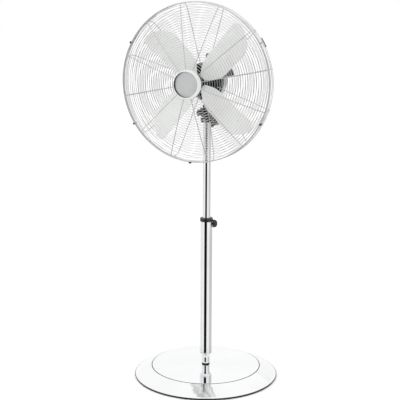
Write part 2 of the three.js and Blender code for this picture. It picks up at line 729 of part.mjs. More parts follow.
function buildClips(head) {
  const outside = GUARD_RADIUS + 0.6;
  const back = REAR_RIM - WIRE_RIM - 0.6;
  const front = FRONT_RIM + WIRE_RIM + 0.6;
  const lip = 1.4;
  const channel = (half) => block([outside - 4, -half, back - lip], [outside + lip, half, front + lip])
    .subtract(block([outside - 5, -half - 1, back], [outside, half + 1, front]));
  const clip = channel(2.4);
  const strap = block([outside, -1.6, BAND_BACK], [outside + lip, 1.6, front]);
  const pad = block([outside, -15, BAND_BACK - 3], [outside + 3, 15, BAND_BACK + 7]);
  const latch = joined([channel(1.6), strap, pad]);
  add(head, 'guard_latch', blackPlastic, placed(latch, { turnZ: LATCH_ANGLE }));
  CLIP_ANGLES.forEach((turnZ, i) => {
    add(head, `guard_clip_${i + 1}`, blackPlastic, placed(clip, { turnZ }));
  });
}

// ---------------------------------------------------------------- the whole fan
const headGroup = new THREE.Group();
headGroup.position.z = AXIS_HEIGHT;
headGroup.rotation.x = Math.PI / 2;
const spinnerGroup = new THREE.Group();
headGroup.add(spinnerGroup);
fan.add(headGroup);

buildBase(fan);
buildStand(fan);
buildNeck(fan);
buildLink(fan);
buildMotorCase(headGroup);
buildMotorInside(headGroup, spinnerGroup);
buildGear(headGroup);
buildBlades(spinnerGroup);
buildGuards(headGroup);

export default fan;
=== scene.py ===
"""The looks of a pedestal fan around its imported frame. Metres, +Z up, the fan blows to -Y.

Shapes are worked out in millimetres and turned into metres when a piece is made.
"""

import json
import math

import bmesh
import bpy
from mathutils import Matrix, Vector


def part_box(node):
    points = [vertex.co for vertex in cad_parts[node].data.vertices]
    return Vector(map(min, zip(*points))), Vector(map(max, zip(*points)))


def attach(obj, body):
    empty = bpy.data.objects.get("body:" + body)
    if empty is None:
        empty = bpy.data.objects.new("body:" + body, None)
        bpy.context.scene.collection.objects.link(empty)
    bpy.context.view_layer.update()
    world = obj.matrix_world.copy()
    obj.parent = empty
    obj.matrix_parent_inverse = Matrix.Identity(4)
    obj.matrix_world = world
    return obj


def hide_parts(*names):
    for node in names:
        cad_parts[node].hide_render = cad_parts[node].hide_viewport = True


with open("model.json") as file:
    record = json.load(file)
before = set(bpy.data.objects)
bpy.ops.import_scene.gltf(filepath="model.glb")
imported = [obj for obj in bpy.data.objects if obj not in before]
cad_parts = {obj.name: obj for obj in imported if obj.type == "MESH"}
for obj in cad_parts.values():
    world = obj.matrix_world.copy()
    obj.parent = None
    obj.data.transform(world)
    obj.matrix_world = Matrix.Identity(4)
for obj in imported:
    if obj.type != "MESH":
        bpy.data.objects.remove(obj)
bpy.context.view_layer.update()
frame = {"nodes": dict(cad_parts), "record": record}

MM = 0.001
TURN = 2 * math.pi


# ---------------------------------------------------------------- sizes taken from the frame
def low(node):
    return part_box(node)[0] / MM


def high(node):
    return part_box(node)[1] / MM


AXIS_HEIGHT = (low("front_guard").z + high("front_guard").z) / 2
TILT_HEIGHT = (low("tilt_knob").z + high("tilt_knob").z) / 2
CLAMP_HEIGHT = (low("height_knob").z + high("height_knob").z) / 2
CLAMP_BEARING = math.radians(22)
WIDE_RADIUS = high("lower_tube").x
NARROW_RADIUS = high("upper_tube").x
SWITCH_MIDDLE = (low("switch_housing").z + high("switch_housing").z) / 2
CRANK = tuple(((low("worm_wheel") + high("worm_wheel")) / 2).xy)
SOCKET_TOP = 810.5             # top of the black cup on the narrow tube
LINK_ARM_BOTTOM = 838.2        # the arm of the tilting fork that the link is screwed to
LINK_ARM_TOP = 842.5
SLEEVE_TOP = 849.7             # where the head rests on the tilting fork
CRANK_BOSS_BOTTOM = 861        # lower end of the gear case's bearing for the crank
LINK_ARM = 26
CRANK_THROW = 16.7
GUARD_RADIUS = 234
RIM = GUARD_RADIUS - 2.4       # centre of the guards' rim wires
RIM_WIRE = 1.9
FRONT_RIM = 97                 # how far the two rims stand in front of the pole's axis
REAR_RIM = 90.6
BAND_BACK = 61.4               # where the latch's strap ends behind the rims
SPOKES = 12
FRONT_SPOKE_ANGLE = 11
REAR_SPOKE_ANGLE = 11.5
SPOKE_WIRE = 1.15
RING_WIRE = 0.66
RING_PITCH = 7.25
FRONT_RINGS = 26
REAR_RINGS = 22
LATCH_ANGLE = 30.5
CLIP_ANGLES = (151, 213, 267, 332)
COVER_FACE = -low("hub_cover").y
BLADES = 4
BLADE_PLANE = 64.4
BLADE_SLOPE = 0.208

# Pieces of the head are drawn with +Z to the front, +Y up and the motor's axis on Z.
HEAD = Matrix.Translation((0, 0, AXIS_HEIGHT)) @ Matrix.Rotation(math.pi / 2, 4, "X")


# ---------------------------------------------------------------- forms
class Form:
    """Points and faces of one or more closed shells, in millimetres."""

    def __init__(self, points=(), faces=()):
        self.points = [Vector(p) for p in points]
        self.faces = [list(f) for f in faces]

    def add(self, other, matrix=Matrix()):
        start = len(self.points)
        self.points += [matrix @ p for p in other.points]
        self.faces += [[i + start for i in f] for f in other.faces]
        return self

    def moved(self, matrix):
        return Form().add(self, matrix)


def shift(x=0, y=0, z=0):
    return Matrix.Translation((x, y, z))


def turn(axis, degrees):
    return Matrix.Rotation(math.radians(degrees), 4, axis)


def joined(*forms):
    whole = Form()
    for form in forms:
        whole.add(form)
    return whole


def softened(points, radius, closed, steps=4):
    """The outline with each corner rounded off, and a point beside each corner to keep long faces flat."""
    count = len(points)
    result = []
    for i, point in enumerate(points):
        if not closed and i in (0, count - 1):
            result.append(Vector(point))
            continue
        corner = Vector(point)
        back = Vector(points[i - 1]) - corner
        ahead = Vector(points[(i + 1) % count]) - corner
        start = corner + back.normalized() * min(radius, 0.45 * back.length)
        end = corner + ahead.normalized() * min(radius, 0.45 * ahead.length)
        result.append(corner + back.normalized() * min(1.5 * radius, 0.48 * back.length))
        for k in range(steps + 1):
            t = k / steps
            result.append((1 - t) ** 2 * start + 2 * t * (1 - t) * corner + t * t * end)
        result.append(corner + ahead.normalized() * min(1.5 * radius, 0.48 * ahead.length))
    return result


def lathe(profile, soften=0.5, segments=96, wave=None):
    """A turned form about +Z from [radius, height] points. wave(angle) scales the radius."""
    closed = not (profile[0][0] == 0 and profile[-1][0] == 0)
    outline = softened(profile, soften, closed)
    form = Form()
    rings = []
    for point in outline:
        if point.x < 1e-6:
            form.points.append(Vector((0, 0, point.y)))
            rings.append([len(form.points) - 1] * segments)
            continue
        start = len(form.points)
        for k in range(segments):
            angle = TURN * k / segments
            radius = point.x * (wave(angle) if wave else 1)
            form.points.append(Vector((radius * math.cos(angle), radius * math.sin(angle), point.y)))
        rings.append(list(range(start, start + segments)))
    pairs = list(zip(rings, rings[1:]))
    if closed:
        pairs.append((rings[-1], rings[0]))
    for lower, upper in pairs:
        for k in range(segments):
            n = (k + 1) % segments
            corners = dict.fromkeys([lower[k], lower[n], upper[n], upper[k]])
            if len(corners) > 2:
                form.faces.append(list(corners))
    return form


def loft(loops):
    """A closed form through loops of equally many points, with flat ends."""
    form = Form([p for loop in loops for p in loop])
    count = len(loops[0])
    for j in range(len(loops) - 1):
        for k in range(count):
            n = (k + 1) % count
            form.faces.append([j * count + k, j * count + n, (j + 1) * count + n, (j + 1) * count + k])
    form.faces.append(list(range(count))[::-1])
    form.faces.append(list(range((len(loops) - 1) * count, len(loops) * count)))
    return form


def slab(half_x, half_y, corner, profile, soften=0.8, arc=8):
    """A rounded block standing on Z, from [inset, height] points of its edge."""
    loops = []
    for point in softened(profile, soften, False):
        inset, height = point
        radius = max(corner - inset, 0.05)
        loop = []
        for quarter in range(4):
            sign_x = 1 if quarter in (0, 3) else -1
            sign_y = 1 if quarter in (0, 1) else -1
            middle_x = sign_x * (half_x - inset - radius)
            middle_y = sign_y * (half_y - inset - radius)
            for k in range(arc + 1):
                angle = (quarter + k / arc) * math.pi / 2
                x = middle_x + radius * math.cos(angle)
                y = middle_y + radius * math.sin(angle)
                loop.append((x, y, height))
        loops.append(loop)
    return loft(loops)


def block(low_corner, high_corner, corner=3, edge=1.2):
    """A block between two corners, with rounded upright corners and softened edges."""
    middle = [(a + b) / 2 for a, b in zip(low_corner, high_corner)]
    half = [(b - a) / 2 for a, b in zip(low_corner, high_corner)]
    profile = [(edge, -half[2]), (0, -half[2] + edge), (0, half[2] - edge), (edge, half[2])]
    return slab(half[0], half[1], corner, profile, edge).moved(shift(*middle))


def wire(path, side, radius, closed=False, sides=8):
    """A round wire along a path that lies in the plane square to side."""
    side = Vector(side).normalized()
    count = len(path)
    loops = []
    for i in range(count):
        ahead = path[(i + 1) % count] if closed or i < count - 1 else path[i]
        behind = path[i - 1] if closed or i > 0 else path[i]
        out = side.cross((Vector(ahead) - Vector(behind)).normalized())
        loop = []
        for k in range(sides):
            angle = TURN * k / sides
            loop.append(Vector(path[i]) + radius * (math.cos(angle) * out + math.sin(angle) * side))
        loops.append(loop)
    if not closed:
        return loft(loops)
    form = loft(loops)
    form.faces = form.faces[:-2]
    last = (count - 1) * sides
    for k in range(sides):
        n = (k + 1) % sides
        form.faces.append([last + k, last + n, n, k])
    return form


def ring(radius, height, wire_radius, segments=160, sides=8):
    path = [(radius * math.cos(TURN * k / segments), radius * math.sin(TURN * k / segments), height)
            for k in range(segments)]
    return wire(path, (0, 0, 1), wire_radius, True, sides)


def rod(radius, bottom, top, edge=0.4, segments=48):
    return lathe([(0, bottom), (radius, bottom), (radius, top), (0, top)], edge, segments)


def pan_head(radius, height):
    """A screw's domed head on Z = 0."""
    return lathe([(0, -0.6), (radius, -0.6), (radius, height * 0.45), (radius * 0.72, height), (0, height)],
                 radius * 0.3, 32)


# ---------------------------------------------------------------- pieces
def mesh_of(name, form, sharp=32):
    mesh = bpy.data.meshes.new(name)
    mesh.from_pydata([p * MM for p in form.points], [], form.faces)
    shape = bmesh.new()
    shape.from_mesh(mesh)
    bmesh.ops.remove_doubles(shape, verts=shape.verts, dist=2e-7)
    bmesh.ops.recalc_face_normals(shape, faces=shape.faces)
    shape.to_mesh(mesh)
    shape.free()
    mesh.shade_smooth()
    mesh.set_sharp_from_angle(angle=math.radians(sharp))
    return mesh


def object_of(name, form, sharp=32):
    thing = bpy.data.objects.new(name, mesh_of(name, form, sharp))
    bpy.context.scene.collection.objects.link(thing)
    return thing


def piece(name, form, body, slot, nodes, material=None, sharp=32):
    """A visible piece: it rides on a body and stands for CAD nodes."""
    thing = object_of(name, form, sharp)
    finish_piece(thing, body, slot, nodes, material)
    return thing


def finish_piece(thing, body, slot, nodes, material=None):
    thing.data.materials.append(MATERIALS[material or slot])
    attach(thing, body)
    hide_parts(*nodes)


def paint_where(thing, name, inside, own_frame=Matrix()):
    """Give a second finish to the faces that lie inside a region of the piece's own frame."""
    thing.data.materials.append(MATERIALS[name])
    index = len(thing.data.materials) - 1
    to_own = own_frame.inverted()
    for polygon in thing.data.polygons:
        if inside(to_own @ (polygon.center / MM)):
            polygon.material_index = index


def reach_of(place):
    """The distance of a point from the Z axis of its own frame."""
    return math.hypot(place.x, place.y)


def apply_modifiers(thing):
    bpy.context.view_layer.update()
    seen = thing.evaluated_get(bpy.context.evaluated_depsgraph_get())
    mesh = bpy.data.meshes.new_from_object(seen)
    thing.modifiers.clear()
    thing.data = mesh
    return thing


def moulded(name, form, body, slot, nodes, voxel=0.7, rounds=5):
    """Overlapping solids run together into one body with soft inner corners."""
    thing = object_of(name, form)
    remesh = thing.modifiers.new("join", "REMESH")
    remesh.mode = "VOXEL"
    remesh.voxel_size = voxel * MM
    soften = thing.modifiers.new("soften", "SMOOTH")
    soften.factor = 0.5
    soften.iterations = rounds
    apply_modifiers(thing)
    thing.data.shade_smooth()
    finish_piece(thing, body, slot, nodes)
    return thing


# ---------------------------------------------------------------- materials
def node(tree, kind, **settings):
    made = tree.nodes.new(kind)
    for key, value in settings.items():
        setattr(made, key, value)
    return made


def noise_of(tree, scale, stretch=(1, 1, 1), detail=3):
    """A noise over the object's own coordinates. scale counts features per metre."""
    place = node(tree, "ShaderNodeTexCoord")
    mapping = node(tree, "ShaderNodeMapping")
    mapping.inputs["Scale"].default_value = stretch
    noise = node(tree, "ShaderNodeTexNoise")
    noise.inputs["Scale"].default_value = scale
    noise.inputs["Detail"].default_value = detail
    tree.links.new(place.outputs["Object"], mapping.inputs["Vector"])
    tree.links.new(mapping.outputs["Vector"], noise.inputs["Vector"])
    return noise.outputs["Fac"]


def spread(tree, value, start, end):
    """Maps a noise, which mostly lies between 0.3 and 0.7, on to start..end."""
    mapped = node(tree, "ShaderNodeMapRange")
    mapped.inputs["From Min"].default_value = 0.3
    mapped.inputs["From Max"].default_value = 0.7
    mapped.inputs["To Min"].default_value = start
    mapped.inputs["To Max"].default_value = end
    tree.links.new(value, mapped.inputs["Value"])
    return mapped.outputs["Result"]


def finish(name, dark, light, rough, metallic=0.0, mottle=25, grain=None, stretch=(1, 1, 1), depth=0.0,
           coat=0.0, rings=None):
    """A procedural finish.

    dark, light: the two colours that the surface wanders between; mottle: how many patches a metre
    rough: (least, most) roughness; grain: bump features a metre; depth: bump height in millimetres
    rings: turning marks in place of the grain, as (axis they turn about, its height, marks a metre)
    """
    material = bpy.data.materials.new(name)
    material.use_nodes = True
    tree = material.node_tree
    shader = tree.nodes["Principled BSDF"]
    shader.inputs["Metallic"].default_value = metallic
    shader.inputs["Coat Weight"].default_value = coat
    shader.inputs["Coat Roughness"].default_value = 0.06
    patches = noise_of(tree, mottle)
    mix = node(tree, "ShaderNodeMix", data_type="RGBA")
    mix.inputs["A"].default_value = (*dark, 1)
    mix.inputs["B"].default_value = (*light, 1)
    tree.links.new(spread(tree, patches, 0, 1), mix.inputs["Factor"])
    tree.links.new(mix.outputs["Result"], shader.inputs["Base Color"])
    marks = noise_of(tree, mottle * 3.7, stretch)
    tree.links.new(spread(tree, marks, *rough), shader.inputs["Roughness"])
    if grain:
        bump = node(tree, "ShaderNodeBump")
        bump.inputs["Strength"].default_value = 1.0
        bump.inputs["Distance"].default_value = depth * MM
        height = ring_marks(tree, *rings) if rings else noise_of(tree, grain, stretch, 4)
        tree.links.new(height, bump.inputs["Height"])
        tree.links.new(bump.outputs["Normal"], shader.inputs["Normal"])
    return material


def ring_marks(tree, axis, centre_height, count):
    """Fine turning marks: a noise over the distance from an axis."""
    place = node(tree, "ShaderNodeTexCoord")
    moved = node(tree, "ShaderNodeVectorMath", operation="SUBTRACT")
    moved.inputs[1].default_value = (0, 0, centre_height * MM)
    flat = node(tree, "ShaderNodeVectorMath", operation="MULTIPLY")
    flat.inputs[1].default_value = (1, 1, 0) if axis == "Z" else (1, 0, 1)
    length = node(tree, "ShaderNodeVectorMath", operation="LENGTH")
    noise = node(tree, "ShaderNodeTexNoise", noise_dimensions="1D")
    noise.inputs["Scale"].default_value = count
    noise.inputs["Detail"].default_value = 3
    tree.links.new(place.outputs["Object"], moved.inputs[0])
    tree.links.new(moved.outputs["Vector"], flat.inputs[0])
    tree.links.new(flat.outputs["Vector"], length.inputs[0])
    tree.links.new(length.outputs["Value"], noise.inputs["W"])
    return noise.outputs["Fac"]


MATERIALS = {
    "chrome": finish("chrome_plate", (0.80, 0.81, 0.82), (0.88, 0.885, 0.89), (0.03, 0.07), 1.0,
                     mottle=18, grain=14, depth=0.02),
    "spun_chrome": finish("spun_chrome", (0.93, 0.935, 0.94), (0.97, 0.975, 0.98), (0.03, 0.06), 1.0,
                          mottle=9, grain=1, depth=0.12, rings=("Z", 0, 38)),
    "chrome_wire": finish("chrome_wire", (0.70, 0.71, 0.71), (0.76, 0.765, 0.765), (0.26, 0.38), 1.0,
                          mottle=60, grain=400, depth=0.01),
    "black_plastic": finish("black_plastic", (0.012, 0.012, 0.013), (0.020, 0.020, 0.021), (0.18, 0.30),
                            mottle=40, grain=1800, depth=0.012),
    "black_paint": finish("black_paint", (0.008, 0.008, 0.009), (0.014, 0.014, 0.015), (0.10, 0.18),
                          mottle=30, grain=500, depth=0.01, coat=0.6),
    "silver_paint": finish("silver_paint", (0.87, 0.88, 0.86), (0.92, 0.93, 0.91), (0.30, 0.42), 0.0,
                           mottle=14, grain=900, depth=0.01, coat=0.15),
    "satin_silver": finish("satin_silver", (0.62, 0.625, 0.63), (0.68, 0.685, 0.69), (0.34, 0.46), 0.75,
                           mottle=30, grain=1, depth=0.008, rings=("Y", AXIS_HEIGHT, 1500)),
    "bright_steel": finish("zinc_steel", (0.46, 0.47, 0.48), (0.62, 0.63, 0.64), (0.22, 0.42), 1.0,
                           mottle=60, grain=900, stretch=(1, 1, 0.1), depth=0.02),
    "cast_iron": finish("cast_iron", (0.02, 0.02, 0.022), (0.05, 0.05, 0.052), (0.5, 0.75), 0.3,
                        mottle=90, grain=420, depth=0.35),
    "rubber": finish("rubber", (0.012, 0.012, 0.012), (0.028, 0.028, 0.028), (0.6, 0.85),
                     mottle=80, grain=1200, depth=0.04),
    "copper": finish("enamelled_copper", (0.42, 0.16, 0.06), (0.62, 0.27, 0.11), (0.2, 0.35), 0.9,
                     mottle=50, grain=1100, stretch=(1, 0.2, 1), depth=0.3),
    "aluminium": finish("die_cast_aluminium", (0.66, 0.67, 0.68), (0.78, 0.79, 0.80), (0.16, 0.30), 1.0,
                        mottle=45, grain=700, depth=0.03),
    "nylon": finish("nylon", (0.66, 0.64, 0.58), (0.74, 0.72, 0.66), (0.35, 0.5),
                    mottle=50, grain=700, depth=0.02),
}


# ---------------------------------------------------------------- camera
def place_camera():
    position = Vector((1.1650, -2.7203, 1.1547))
    azimuth, pitch, roll = (math.radians(v) for v in (23.573, 11.3938, 0.2334))
    level = Vector((-math.sin(azimuth), math.cos(azimuth), 0))
    ahead = math.cos(pitch) * level - math.sin(pitch) * Vector((0, 0, 1))
    across = ahead.cross(Vector((0, 0, 1))).normalized()
    up = across.cross(ahead)
    right = math.cos(roll) * across + math.sin(roll) * up
    top = math.cos(roll) * up - math.sin(roll) * across
    camera = bpy.data.objects.new("camera", bpy.data.cameras.new("camera"))
    camera.data.sensor_width = 36
    camera.data.lens = 88.9
    camera.data.clip_end = 60
    camera.matrix_world = Matrix.Translation(position) @ Matrix((right, top, -ahead)).transposed().to_4x4()
    bpy.context.scene.collection.objects.link(camera)
    bpy.context.scene.camera = camera


# ---------------------------------------------------------------- studio
CAMERA_SIDE = math.radians(23.2)


def ramp_of(tree, value, stops):
    ramp = node(tree, "ShaderNodeValToRGB")
    elements = ramp.color_ramp.elements
    while len(elements) < len(stops):
        elements.new(0.5)
    for element, (position, level) in zip(elements, stops):
        element.position = position
        element.color = (level, level, level, 1)
    tree.links.new(value, ramp.inputs["Fac"])
    return ramp.outputs["Color"]


def build_studio():
    """White all round, with a few tall dark and grey panels that the camera itself does not see."""
    scene = bpy.context.scene
    scene.view_settings.view_transform = "Standard"
    world = bpy.data.worlds.new("studio")
    scene.world = world
    world.use_nodes = True
    tree = world.node_tree
    place = node(tree, "ShaderNodeTexCoord")
    spin = node(tree, "ShaderNodeVectorRotate", rotation_type="Z_AXIS")
    spin.inputs["Angle"].default_value = -CAMERA_SIDE
    tree.links.new(place.outputs["Generated"], spin.inputs["Vector"])
    parts = node(tree, "ShaderNodeSeparateXYZ")
    tree.links.new(spin.outputs["Vector"], parts.inputs["Vector"])
    away = node(tree, "ShaderNodeMath", operation="MULTIPLY")
    away.inputs[1].default_value = -1
    tree.links.new(parts.outputs["Y"], away.inputs[0])
    bearing = node(tree, "ShaderNodeMath", operation="ARCTAN2")
    tree.links.new(parts.outputs["X"], bearing.inputs[0])
    tree.links.new(away.outputs["Value"], bearing.inputs[1])
    share = node(tree, "ShaderNodeMapRange")
    share.inputs["From Min"].default_value = -math.pi
    share.inputs["From Max"].default_value = math.pi
    tree.links.new(bearing.outputs["Value"], share.inputs["Value"])

    # [degrees round from the camera's side, brightness]
    panels = [(-180, 1.0), (-96, 1.0), (-94, 0.7), (-86, 0.7), (-84, 1.0), (-39, 1.0), (-37, 0.01),
              (10, 0.01), (12, 1.0), (58, 1.0), (66, 0.66), (120, 0.66), (150, 0.95), (180, 1.0)]
    levels = ramp_of(tree, share.outputs["Result"], [(0.5 + a / 360, level) for a, level in panels])
    top = ramp_of(tree, parts.outputs["Z"], [(0.0, 0), (0.42, 0), (0.50, 1), (1.0, 1)])
    mix = node(tree, "ShaderNodeMix", data_type="RGBA")
    mix.inputs["B"].default_value = (1, 1, 1, 1)
    tree.links.new(top, mix.inputs["Factor"])
    tree.links.new(levels, mix.inputs["A"])

    background = tree.nodes["Background"]
    background.inputs["Strength"].default_value = 1.0
    tree.links.new(mix.outputs["Result"], background.inputs["Color"])
    plain = node(tree, "ShaderNodeBackground")
    plain.inputs["Color"].default_value = (1, 1, 1, 1)
    ray = node(tree, "ShaderNodeLightPath")
    choice = node(tree, "ShaderNodeMixShader")
    tree.links.new(ray.outputs["Is Camera Ray"], choice.inputs["Fac"])
    tree.links.new(background.outputs["Background"], choice.inputs[1])
    tree.links.new(plain.outputs["Background"], choice.inputs[2])
    tree.links.new(choice.outputs["Shader"], tree.nodes["World Output"].inputs["Surface"])

    build_key_light(scene)
    build_floor(scene)


def build_key_light(scene):
    """A soft light high on the left, which no reflection shows."""
    place = Vector((-1.8, -2.6, 3.2))
    target = Vector((0, 0, 0.7))
    key = bpy.data.objects.new("key", bpy.data.lights.new("key", "AREA"))
    key.data.size = 2.2
    key.data.energy = 40
    key.visible_glossy = False
    key.matrix_world = Matrix.Translation(place)
    key.rotation_euler = (target - place).to_track_quat("-Z", "Y").to_euler()
    scene.collection.objects.link(key)


def build_floor(scene):
    """A white floor half a millimetre under the feet, faintly lit so that it melts into the backdrop."""
    plane = bpy.data.meshes.new("floor")
    half = 30
    corners = [(-half, -half, 0), (half, -half, 0), (half, half, 0), (-half, half, 0)]
    plane.from_pydata(corners, [], [(0, 1, 2, 3)])
    floor = bpy.data.objects.new("floor", plane)
    floor.location.z = -0.0005
    scene.collection.objects.link(floor)
    pale = finish("floor", (0.955, 0.955, 0.955), (0.97, 0.97, 0.97), (0.9, 1.0), mottle=2)
    shader = pale.node_tree.nodes["Principled BSDF"]
    shader.inputs["Emission Color"].default_value = (1, 1, 1, 1)
    shader.inputs["Emission Strength"].default_value = 0.12
    plane.materials.append(pale)
    floor.visible_glossy = False


# ---------------------------------------------------------------- base
def build_base():
    dish_top = high("base_cover").z
    rim = high("base_cover").x
    flat = 168
    sheet = 1.5
    crease = [(flat, dish_top), (flat + 0.5, dish_top - 1.1), (flat + 2.1, dish_top - 1.5),
              (flat + 2.7, dish_top - 0.8)]
    ring_foot = 213
    lip = 4.6
    cover = lathe([
        (7, dish_top), (flat - 3, dish_top), *crease, (ring_foot, lip + 1.7), (rim - 0.8, lip + 1.1),
        (rim, lip + 0.6), (rim, lip), (ring_foot - 0.8, lip), (flat + 2.3, dish_top - 2.8),
        (flat - 2, dish_top - sheet), (7, dish_top - sheet),
    ], 0.5, 256)
    dish = piece("dish", cover, "base", "chrome", ["base_cover"], "spun_chrome")

    # The crease and the outer lip of the dish get the dark rubber finish. In the crease it is painted
    # shade. On the lip it stands for the black edging wrapped over the rim and for painted shadow where the
    # base meets the floor.
    def painted_shade_and_edging(place):
        in_crease = place.z > dish_top - 1.7 and flat + 0.2 < reach_of(place) < flat + 2.4
        return in_crease or reach_of(place) > rim - 1.3

    paint_where(dish, "rubber", painted_shade_and_edging)

    edge = high("base_edge_trim").x
    trim = lathe([(ring_foot, 1), (edge - 0.8, 0.3), (edge, 1), (edge + 0.3, 3), (edge + 0.3, 4.4),
                  (ring_foot, 4.4)], 0.5, 256)
    piece("dish_edging", trim, "base", "black_plastic", ["base_edge_trim"])

    bottom = low("base_plate").z
    top = high("base_plate").z
    bead = 0.6
    plate = lathe([(12, bottom), (60, bottom), (62, bottom + bead), (70, bottom + bead), (72, bottom),
                   (190, bottom), (192, bottom + bead), (198, bottom + bead), (200, bottom), (206, bottom),
                   (206, top), (12, top)], 0.4, 160)
    piece("bottom_plate", plate, "base", "bright_steel", ["base_plate"])

    under = low("base_weight").z
    iron = lathe([(21, under), (152, under), (152, under + 7.5), (120, under + 7.5), (117, under + 6),
                  (60, under + 6), (57, under + 7.5), (21, under + 7.5)], 1.2, 128)
    piece("iron_weight", iron, "base", "cast_iron", ["base_weight"])

    for i in range(4):
        name = f"base_foot_{i + 1}"
        centre = (low(name) + high(name)) / 2
        foot = lathe([(0, 0), (4, 0), (4.6, 0.5), (6, 0.5), (6.6, 0), (9.2, 0), (10, 1), (10, 2.7),
                      (0, 2.7)], 0.3, 64)
        piece(f"rubber_foot_{i + 1}", foot.moved(shift(centre.x, centre.y, 0)), "base", "rubber", [name])

    start = low("foot_washer").z
    end = high("foot_washer").z
    washer = lathe([(5.3, start), (12.2, start), (12.2, end), (5.3, end)], 0.8, 96)
    piece("pole_washer", washer, "base", "rubber", ["foot_washer"])

    start = low("foot_ferrule").z
    end = high("foot_ferrule").z
    wide = WIDE_RADIUS + 0.4
    ferrule = lathe([
        (5.3, start), (11.2, start), (12, start + 4), (12.4, end - 15), (14.5, end - 9),
        (wide - 0.6, end - 3.6), (wide, end - 2), (wide, end - 0.6), (wide - 0.6, end), (5.3, end),
    ], 1.6, 128)
    piece("pole_foot", ferrule, "base", "chrome", ["foot_ferrule"], sharp=50)


# ---------------------------------------------------------------- stand
def build_stand():
    for name, node_name, body, wall in (("wide_tube", "lower_tube", "base", 1.5),
                                        ("narrow_tube", "upper_tube", "mast", 1.3)):
        bottom = low(node_name).z
        top = high(node_name).z
        radius = high(node_name).x
        inside = radius - wall
        tube = lathe([(inside, bottom), (radius, bottom), (radius, top), (inside, top)], 0.5, 128)
        piece(name, tube, body, "chrome", [node_name])

    bottom = high("lower_tube").z
    top = high("collar_bush").z
    inside = NARROW_RADIUS + 0.3
    sleeve = WIDE_RADIUS - 1.8
    flange = high("collar_bush").x
    sleeve_bottom = 440
    collar = lathe([
        (inside, sleeve_bottom), (sleeve, sleeve_bottom), (sleeve, bottom + 0.3), (flange, bottom + 0.3),
        (flange, bottom + 7.6), (flange - 0.7, bottom + 8), (flange - 0.7, bottom + 8.6),
        (flange - 0.2, bottom + 9), (flange - 1.2, top), (inside, top),
    ], 0.6, 128)
    piece("collar", collar, "base", "black_plastic", ["collar_bush"])

    out = shift(0, 0, CLAMP_HEIGHT) @ turn("Z", math.degrees(CLAMP_BEARING)) @ turn("Y", 90)
    knob = lathe([
        (0, 33.7), (4.6, 33.2), (7.8, 31.9), (10.2, 29.6), (11.6, 26.8), (12.2, 24), (12.2, 21),
        (11.2, 19.6), (4, 19.4), (0, 19.4),
    ], 1.0, 160, flutes(12, 0.045))
    stud = rod(3.9, 14.9, 20.6, 0.3)
    piece("clamp_knob", joined(knob, stud).moved(out), "height_knob", "black_plastic", ["height_knob"],
          sharp=50)


def flutes(count, depth):
    """Hollows round a knob: the radius dips count times in a turn."""
    def wave(angle):
        return 1 - depth * (0.5 + 0.5 * math.cos(count * angle)) ** 3
    return wave


# ---------------------------------------------------------------- neck
def link_points():
    """Plan points of the link's two ends: its screw on the fork's arm and the pin of the crank."""
    reach = math.hypot(*CRANK)
    across = (CRANK[1] / reach, -CRANK[0] / reach)
    fixed = Vector((LINK_ARM * across[0], LINK_ARM * across[1]))
    pin = Vector((CRANK[0] + CRANK_THROW * across[0], CRANK[1] + CRANK_THROW * across[1]))
    return fixed, pin


def bar(start, end, half_width, bottom, top, edge=0.6):
    """A flat bar with round ends between two plan points."""
    middle = (start + end) / 2
    reach = end - start
    profile = [(edge, bottom), (0, bottom + edge), (0, top - edge), (edge, top)]
    flat = slab(reach.length / 2 + half_width, half_width, half_width, profile, edge)
    return flat.moved(shift(middle.x, middle.y) @ Matrix.Rotation(math.atan2(reach.y, reach.x), 4, "Z"))


